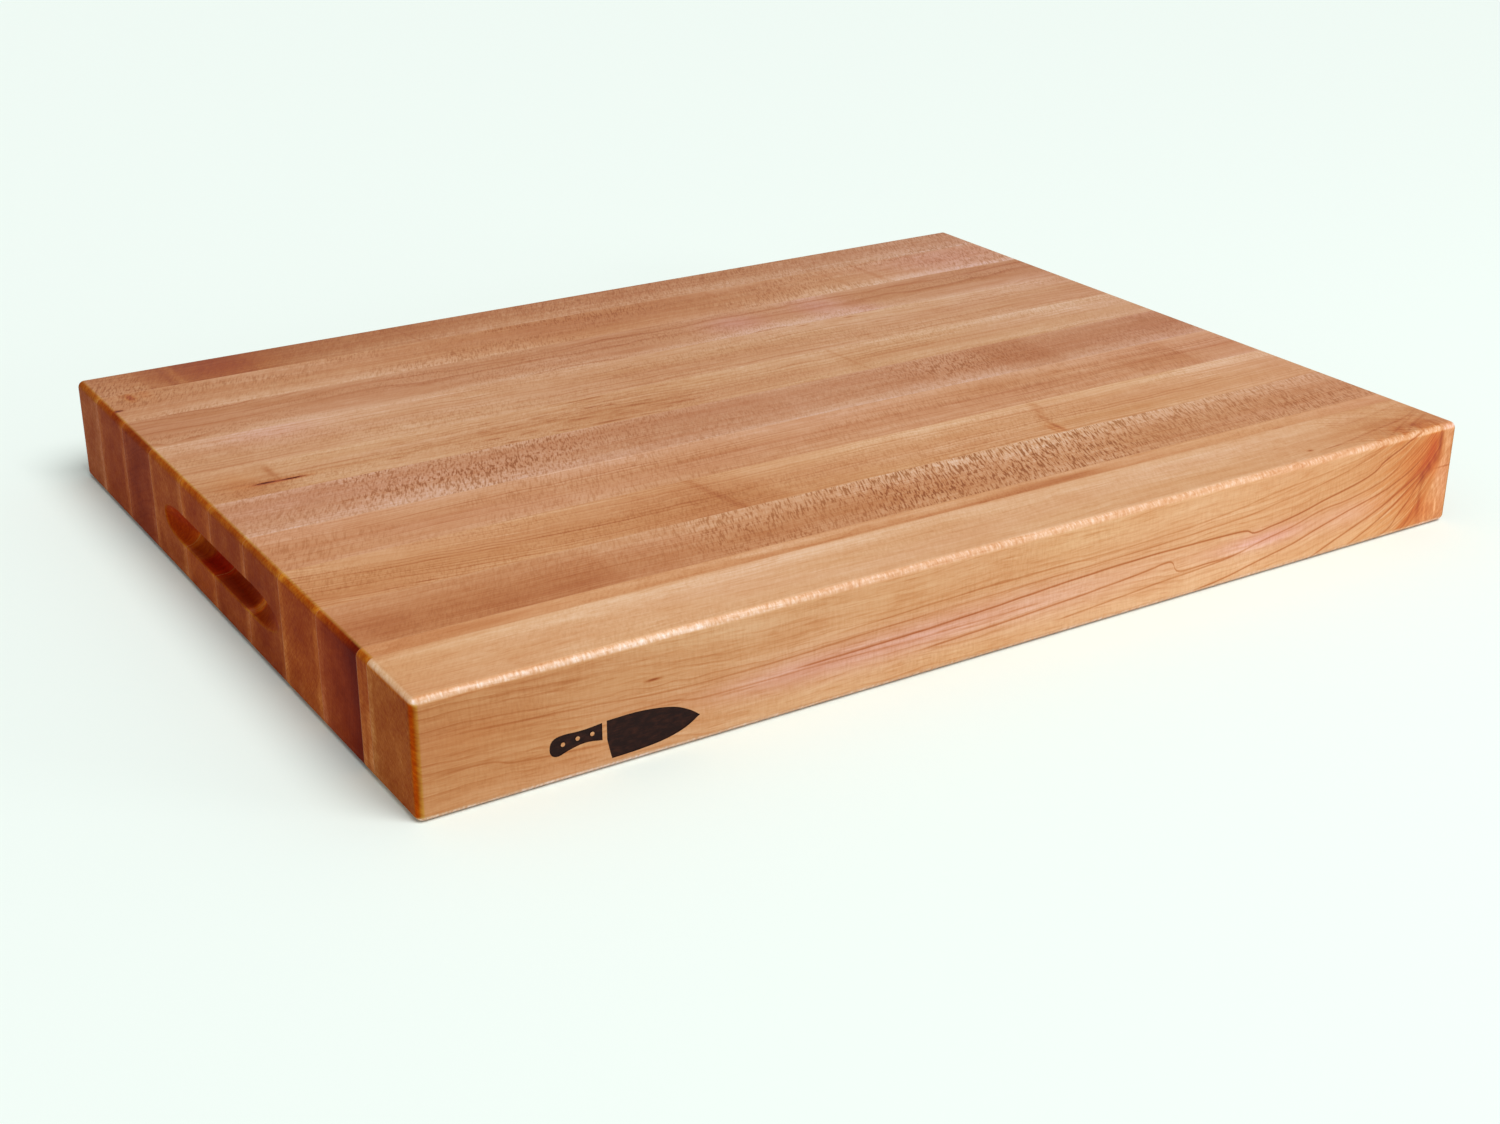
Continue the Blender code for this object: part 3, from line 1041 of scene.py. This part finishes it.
            # Its upright corners took up more finish where they turn into the end.
            upright = self.step(self.end_facing, 0.50, 0.85)
            mixed = mixed * self.exp(self.edge * upright * CORNER_SOAK[i])
        if self.warm is not None:
            mixed = mixed * self.exp(self.warm * GRIP_WARM[i])
        return mixed

    def build(self):
        self.grow_rings()
        self.grow_fibres()
        self.grow_fleck()
        self.tint_face()
        self.find_end()
        self.soak_end()
        self.stain_and_shade_grip()
        # Painted shade along the bottom edges and back corners, and a darker right front corner.
        edge_shade = self.shade_edges()
        self.end = self.high(self.end, self.grip_end)
        face_share = 1.0 - self.end
        fibre, fleck = self.fibre, self.fleck
        rough = (fibre - 0.5) * 0.20 + (self.streak - 0.5) * 0.14
        rough = rough + self.end * 0.14 + fleck * 0.05 + 0.42
        # The fibres stand up a few hundredths of a millimetre, and the late wood with them.
        height = fibre * 0.6 + self.pore * -0.35 + self.late * 0.25 - fleck * 0.4
        return self.surface({
            "Base Color": self.colour(self.channel(i, edge_shade, face_share) for i in range(3)),
            "Roughness": rough,
            "IOR": 1.45,
            "Specular IOR Level": face_share * 0.28 + 0.02,
            "Normal": self.bump(height, strength=0.5, distance=0.00007),
        })


# ------------------------------------------------------------------ the other materials
def glue_material():
    """Cured adhesive: amber, darker at the two ends where finish has soaked in beside it."""
    graph = Graph("cured_glue")
    face_colour = (0.56, 0.28, 0.125)
    end_colour = (0.44, 0.15, 0.045)
    place = graph.wood_point()
    end = graph.step(graph.abs(graph.normal()[0]), 0.06, 0.55)
    cloud = graph.noise(place, (0.03, 0.1, 0.15), detail=3.0)
    fine = graph.noise(place, (0.4, 0.4, 0.8), detail=2.0)
    dark = (cloud - 0.5) * 0.9 + (fine - 0.5) * 0.4
    channels = [
        graph.exp(dark * -darken) * (end * (soaked - face) + face)
        for darken, face, soaked in zip(DARKEN, face_colour, end_colour)
    ]
    return graph.surface({
        "Base Color": graph.colour(channels),
        "Roughness": (fine - 0.5) * 0.2 + 0.40,
        "Specular IOR Level": 0.25,
    })


def char_material():
    """Burned wood: near black, dull, browner where it is burned lightly."""
    graph = Graph("burned_wood")
    black = (0.014, 0.005, 0.004)
    added_brown = (0.050, 0.014, 0.006)
    place = graph.wood_point()
    cloud = graph.noise(place, (0.22, 0.3, 0.35), detail=3.0)
    fibre = graph.noise(place, (0.25, 1.5, 2.4), detail=2.0)
    light = (cloud - 0.42) * 1.2 + (fibre - 0.5) * 0.8
    light = graph.math("ADD", light, 0.0, clamp=True)
    return graph.surface({
        "Base Color": graph.colour(
            light * added + base for base, added in zip(black, added_brown)
        ),
        "Roughness": (fibre - 0.5) * 0.2 + 0.75,
        "Specular IOR Level": 0.12,
        "Normal": graph.bump(fibre, strength=0.6, distance=0.0001),
    })


def floor_material():
    return Graph("pale_floor").surface({
        "Base Color": (0.83, 0.915, 0.865, 1.0),
        "Roughness": 0.9,
        "Specular IOR Level": 0.1,
    })


# ------------------------------------------------------------------ the shapes
# A knife in side view, burned into the front side: X, Z in wood mm, and whether the point is
# sharp. The outlines are rounded at every other point.
BLADE = [
    (88.0, 23.6, True), (104.0, 24.0, False), (120.0, 21.8, False), (128.5, 18.0, False),
    (134.0, 13.8, True), (127.0, 9.2, False), (116.0, 6.2, False), (102.0, 5.1, False),
    (90.2, 4.9, True), (89.4, 8.0, False), (88.0, 14.6, True),
]
HANDLE = [
    (85.8, 14.9, True), (78.0, 16.4, False), (70.0, 14.9, False), (64.0, 12.6, False),
    (60.4, 15.0, False), (61.0, 21.2, False), (66.0, 23.0, False), (76.0, 22.2, False),
    (85.8, 23.2, True),
]
RIVETS = ((67.0, 18.2), (74.0, 19.1), (81.0, 19.3))  # X, Z in wood mm
RIVET_RADIUS = 1.0  # wood mm
RIVET_SIDES = 28
MARK_DEPTH = 0.35 * MM
MARK_CLEAR = 1.0 * MM  # how far a cutter stands clear of what it cuts

# Drying checks in the top face: name, start and end X, Y, width, depth (all wood mm), and the
# phase of its waviness.
CHECKS = {
    "stave_07": [
        ("check_0", 29.5, 40.5, 252.6, 0.95, 1.4, 0.0),
        ("check_1", 42.5, 54.0, 252.2, 0.95, 1.4, 2.0),
    ],
    "stave_10": [("check_left", 3.2, 7.5, 394.0, 0.9, 0.9, 1.0)],
}
CHECK_STEPS = 12

# The grip's hollow.
GRIP_REACH = GRIP_LENGTH / 2 + 5.0 * MM  # half the cutter's length
GRIP_OUTSIDE = -19.0 * MM  # how far the cutter stands out of the board, as a depth
GRIP_STATIONS = 144
NOSE_STEPS = 28
FLARE_DEPTHS = (1.0, 0.75, 0.52, 0.34, 0.2, 0.1, -0.6)  # in shares of the eased rim

SHARP_ANGLE = 24.0  # degrees


def object_from(name, bm, material=None):
    mesh = bpy.data.meshes.new(name)
    bm.to_mesh(mesh)
    bm.free()
    obj = bpy.data.objects.new(name, mesh)
    bpy.context.scene.collection.objects.link(obj)
    if material:
        mesh.materials.append(material)
    return obj


def plank(y0, y1, round_front=False, round_back=False):
    """A plank from y0 to y1 over the board's length and thickness, its end edges rounded."""
    bm = bmesh.new()
    middle_y = (y0 + y1) / 2
    bmesh.ops.create_cube(bm, size=1.0)
    bmesh.ops.scale(bm, vec=Vector((LENGTH, y1 - y0, THICK)), verts=bm.verts)
    bmesh.ops.translate(bm, vec=Vector((MIDDLE_X, middle_y, MIDDLE_Z)), verts=bm.verts)
    outer = []
    for edge in bm.edges:
        start, end = (vert.co for vert in edge.verts)
        along = (end - start).normalized()
        middle = (start + end) / 2
        if (
            abs(along.y) > 0.9
            or (round_front and middle.y < middle_y)
            or (round_back and middle.y > middle_y)
        ):
            outer.append(edge)
    bmesh.ops.bevel(
        bm,
        geom=outer,
        offset=EDGE_RADIUS,
        offset_type="OFFSET",
        segments=EDGE_STEPS,
        profile=0.5,
        affect="EDGES",
    )
    bmesh.ops.recalc_face_normals(bm, faces=bm.faces)
    return bm


def lofted(sections):
    """A closed body through sections of equally many points each."""
    bm = bmesh.new()
    rings = [[bm.verts.new(point) for point in section] for section in sections]
    for one, other in zip(rings, rings[1:]):
        for i in range(len(one)):
            j = (i + 1) % len(one)
            bm.faces.new((one[i], one[j], other[j], other[i]))
    bm.faces.new(list(reversed(rings[0])))
    bm.faces.new(rings[-1])
    bmesh.ops.recalc_face_normals(bm, faces=bm.faces)
    return bm


def grip_flare(depth, ease):
    """How much wider the hollow is at a depth within its eased rim."""
    if ease <= 1e-6 or depth >= ease:
        return 0.0
    turn = 1.0 - max(depth, 0.1 * ease) / ease
    grow = ease * (1.0 - math.sqrt(1.0 - turn * turn))
    if depth < 0.1 * ease:
        # Further out it carries on along the same slope.
        past = 0.1 * ease - max(depth, -0.6 * ease)
        grow += past * turn / math.sqrt(1.0 - turn * turn)
    return grow


def grip_section(y):
    """The hollow's outline at y from the board's middle: points of depth and height."""
    nose = GRIP_HEIGHT / 2
    # It gets shallower towards its ends: to a blunt tip at the back, a slimmer one at the front.
    if y > 0.0:
        half_length, power = GRIP_LENGTH / 2 + 2.2 * MM, 0.80
    else:
        half_length, power = GRIP_LENGTH / 2, 1.15
    inside = 1.0 - (y / half_length) ** 2
    if inside > 0.0:
        deepest = (GRIP_DEPTH - 0.6 * MM) * inside**power
    else:
        deepest = (half_length - abs(y)) * 1.2
    ease = GRIP_EASE * max(0.0, min(1.0, (deepest + 0.0004) / 0.003))
    half = []
    for n in range(NOSE_STEPS + 1):
        turn = math.pi / 2 * n / NOSE_STEPS
        half.append((deepest - nose * (1.0 - math.cos(turn)), nose * math.sin(turn)))
    # The straight wall runs out to the mouth, where it flares.
    wall = half[-1][0]
    for k, share in enumerate(FLARE_DEPTHS):
        half.append((min(share * ease, wall - 0.0002 * (k + 1)), nose))
    half.append((GRIP_OUTSIDE, nose))
    upper = [
        (depth, z + grip_flare(depth, ease) * min(1.0, z / (0.35 * nose)))
        for depth, z in half
    ]
    return [(depth, -z) for depth, z in reversed(upper[1:])] + upper


def grip_cutter(side):
    """The grip's hollow as a closed body. side is -1 at the left end, 1 at the right."""
    face_x = cad_low.x if side < 0 else cad_high.x
    sections = []
    for s in range(GRIP_STATIONS + 1):
        y = -GRIP_REACH * math.cos(math.pi * s / GRIP_STATIONS)
        sections.append([
            (face_x - side * depth, MIDDLE_Y + y, MIDDLE_Z + z)
            for depth, z in grip_section(y)
        ])
    return lofted(sections)


def check_cutter(x0, x1, y, width, depth, wave):
    """A narrow closed wedge that is widest in the middle and runs out at both ends."""
    top = cad_high.z + 0.2 * MM
    sections = []
    for s in range(CHECK_STEPS + 1):
        t = s / CHECK_STEPS
        x = CORNER.x + (x0 + (x1 - x0) * t) * MM
        swell = max(math.sin(math.pi * t) ** 0.7, 0.04)
        half = width * 0.5 * swell * (1.0 + 0.25 * math.sin(17.0 * t + wave))
        middle = CORNER.y + (y + 0.25 * math.sin(5.0 * t + wave)) * MM
        bottom = cad_high.z - depth * MM * swell
        sections.append([
            (x, middle - half * MM, top), (x, middle, bottom), (x, middle + half * MM, top),
        ])
    return lofted(sections)


def prism(outline, y0, y1):
    """A closed prism from y0 to y1 (metres) whose outline is X, Z in wood mm."""
    bm = bmesh.new()
    points = [(CORNER.x + x * MM, CORNER.z + z * MM) for x, z in outline]
    near = [bm.verts.new((x, y0, z)) for x, z in points]
    far = [bm.verts.new((x, y1, z)) for x, z in points]
    bm.faces.new(near)
    bm.faces.new(list(reversed(far)))
    for i in range(len(points)):
        j = (i + 1) % len(points)
        bm.faces.new((near[j], near[i], far[i], far[j]))
    bmesh.ops.recalc_face_normals(bm, faces=bm.faces)
    return bm


def smooth_loop(points):
    """Two rounds of corner-cutting on a closed outline. A sharp point stays where it is."""
    for _ in range(2):
        out = []
        for i, (x, z, sharp) in enumerate(points):
            if sharp:
                out.append((x, z, True))
                continue
            for other in (points[i - 1], points[(i + 1) % len(points)]):
                out.append((x + (other[0] - x) * 0.25, z + (other[1] - z) * 0.25, False))
        points = out
    return [(x, z) for x, z, _ in points]


def rivet_outline(x, z):
    turns = [2 * math.pi * k / RIVET_SIDES for k in range(RIVET_SIDES)]
    return [
        (x + RIVET_RADIUS * math.cos(turn), z + RIVET_RADIUS * math.sin(turn))
        for turn in turns
    ]


def cut(obj, cutter):
    """Cuts cutter out of obj. The cut faces take the cutter's material when it has one."""
    modifier = obj.modifiers.new("cut", "BOOLEAN")
    modifier.operation = "DIFFERENCE"
    modifier.solver = "EXACT"
    modifier.object = cutter
    modifier.material_mode = "TRANSFER"
    depsgraph = bpy.context.evaluated_depsgraph_get()
    depsgraph.update()
    made = bpy.data.meshes.new_from_object(obj.evaluated_get(depsgraph), depsgraph=depsgraph)
    obj.modifiers.clear()
    old = obj.data
    obj.data = made
    made.name = obj.name
    bpy.data.meshes.remove(old)


def cut_knife_mark(obj, front_y, char):
    """Sinks the knife into the front side, leaving its rivets proud. Returns the cutters."""
    deep = front_y + MARK_DEPTH
    out = front_y - MARK_CLEAR
    blade = object_from("mark_blade", prism(smooth_loop(BLADE), out, deep), char)
    handle = object_from("mark_handle", prism(smooth_loop(HANDLE), out, deep), char)
    rivets = []
    for k, (x, z) in enumerate(RIVETS):
        body = prism(rivet_outline(x, z), out - MARK_CLEAR, deep + MARK_CLEAR)
        rivet = object_from(f"mark_rivet_{k}", body, char)
        cut(handle, rivet)
        rivets.append(rivet)
    cut(obj, blade)
    cut(obj, handle)
    return [*rivets, blade, handle]


def finish_piece(obj, node):
    """Smooth shading that keeps the flat faces flat, and its place in the frame."""
    mesh = obj.data
    mesh.validate()
    mesh.shade_smooth()
    mesh.set_sharp_from_angle(angle=math.radians(SHARP_ANGLE))
    weighted = obj.modifiers.new("flat_faces_first", "WEIGHTED_NORMAL")
    weighted.mode = "FACE_AREA"
    weighted.weight = 80
    weighted.keep_sharp = True
    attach(obj, "root")
    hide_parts(node)


def spans():
    """Each stave's sides in metres, closed up to its glue films, and each film's own sides."""
    film_boxes = [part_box(name) for name in FILMS]
    films = {name: (low.y, high.y) for name, (low, high) in zip(FILMS, film_boxes)}
    staves = {}
    for index, name in enumerate(STAVES):
        low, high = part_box(name)
        y0 = low.y if index == 0 else films[FILMS[index - 1]][1] + SEAM
        y1 = high.y if index == len(STAVES) - 1 else films[FILMS[index]][0] - SEAM
        staves[name] = (y0, y1)
    return staves, films


def build_stave(name, y0, y1, grips, char):
    """One stave with all its cuts. Returns the cutters it made."""
    material = Maple(name, (y0 - CORNER.y) * 1000.0, (y1 - CORNER.y) * 1000.0).build()
    body = plank(y0, y1, round_front=name == STAVES[0], round_back=name == STAVES[-1])
    obj = object_from(f"{name}_wood", body, material)
    half = GRIP_LENGTH / 2
    if y0 < MIDDLE_Y + half + 0.002 and y1 > MIDDLE_Y - half - 0.002:
        for grip in grips:
            cut(obj, grip)
    helpers = []
    if name == "front_stave":
        helpers += cut_knife_mark(obj, y0, char)
    for check_name, *shape in CHECKS.get(name, []):
        wedge = object_from(check_name, check_cutter(*shape), char)
        cut(obj, wedge)
        helpers.append(wedge)
    finish_piece(obj, name)
    return helpers


def build_film(name, y0, y1, grips, glue):
    obj = object_from(f"{name}_film", plank(y0, y1), glue)
    if abs((y0 + y1) / 2 - MIDDLE_Y) < GRIP_LENGTH / 2 + 0.001:
        for grip in grips:
            cut(obj, grip)
    finish_piece(obj, name)


def build_board():
    stave_sides, film_sides = spans()
    char = char_material()
    glue = glue_material()
    grips = [
        object_from(f"grip_cutter_{word}", grip_cutter(side))
        for word, side in (("left", -1), ("right", 1))
    ]
    helpers = list(grips)
    for name, (y0, y1) in stave_sides.items():
        helpers += build_stave(name, y0, y1, grips, char)
    for name, (y0, y1) in film_sides.items():
        build_film(name, y0, y1, grips, glue)
    for helper in helpers:
        bpy.data.objects.remove(helper, do_unlink=True)


# ------------------------------------------------------------------ the studio
def build_floor():
    size = 12.0  # metres from the middle to each side
    drop = 0.0001  # metres below the board
    bm = bmesh.new()
    corners = [(-size, -size), (size, -size), (size, size), (-size, size)]
    bm.faces.new([bm.verts.new((x, y, cad_low.z - drop)) for x, y in corners])
    object_from("pale_floor", bm, floor_material())


def build_world():
    """The camera sees a pale backdrop, while the wood is lit by a dimmer white one."""
    world = bpy.data.worlds.new("soft_studio")
    bpy.context.scene.world = world
    world.use_nodes = True
    tree = world.node_tree
    tree.nodes.clear()

    def background(colour, strength):
        made = tree.nodes.new("ShaderNodeBackground")
        made.inputs["Color"].default_value = colour
        made.inputs["Strength"].default_value = strength
        return made

    output = tree.nodes.new("ShaderNodeOutputWorld")
    mix = tree.nodes.new("ShaderNodeMixShader")
    path = tree.nodes.new("ShaderNodeLightPath")
    seen = background(colour=(0.90, 0.985, 0.935, 1.0), strength=1.0)
    fill = background(colour=(1.0, 1.0, 1.0, 1.0), strength=0.42)
    tree.links.new(path.outputs["Is Camera Ray"], mix.inputs[0])
    tree.links.new(fill.outputs[0], mix.inputs[1])
    tree.links.new(seen.outputs[0], mix.inputs[2])
    tree.links.new(mix.outputs[0], output.inputs[0])


def place_light(light, location, away):
    """Puts the light at location with its back to the direction away."""
    lamp = bpy.data.objects.new(light.name, light)
    lamp.rotation_mode = "QUATERNION"
    lamp.rotation_quaternion = away.to_track_quat("Z", "Y")
    lamp.location = location
    bpy.context.scene.collection.objects.link(lamp)


def build_lights():
    key = bpy.data.lights.new("key", "SUN")
    key.energy = 2.35
    key.angle = math.radians(40)
    towards_key = Vector((0.14, -0.50, 0.84))
    place_light(key, location=towards_key * 3.0, away=towards_key)

    # A soft box low on the right brightens the front side towards its right end.
    box = bpy.data.lights.new("soft_box", "AREA")
    box.shape = "RECTANGLE"
    box.size, box.size_y = 0.55, 0.35
    box.energy = 5.0
    box_place = Vector((0.95, -1.40, 0.36))
    box_target = Vector((0.18, -0.22, 0.02))
    place_light(box, location=box_place, away=box_place - box_target)


def build_camera():
    """In front of the board's left end and above it, looking down and to the back right."""
    data = bpy.data.cameras.new("camera")
    data.sensor_fit = "HORIZONTAL"
    data.sensor_width = 36.0
    data.lens = 50.97
    data.clip_start, data.clip_end = 0.01, 60.0
    camera = bpy.data.objects.new("camera", data)
    right = Vector((0.84539, -0.53415, 0.00334))
    up = Vector((0.21422, 0.34476, 0.91393))
    ahead = Vector((0.48932, 0.77190, -0.40588))
    matrix = Matrix((right, up, -ahead)).transposed().to_4x4()
    matrix.translation = CORNER + Vector((-0.28587, -0.70255, 0.44972))
    camera.matrix_world = matrix
    bpy.context.scene.collection.objects.link(camera)
    bpy.context.scene.camera = camera


build_board()
build_floor()
build_world()
build_lights()
build_camera()

bpy.context.scene.view_settings.view_transform = "Standard"
bpy.context.scene.view_settings.look = "None"
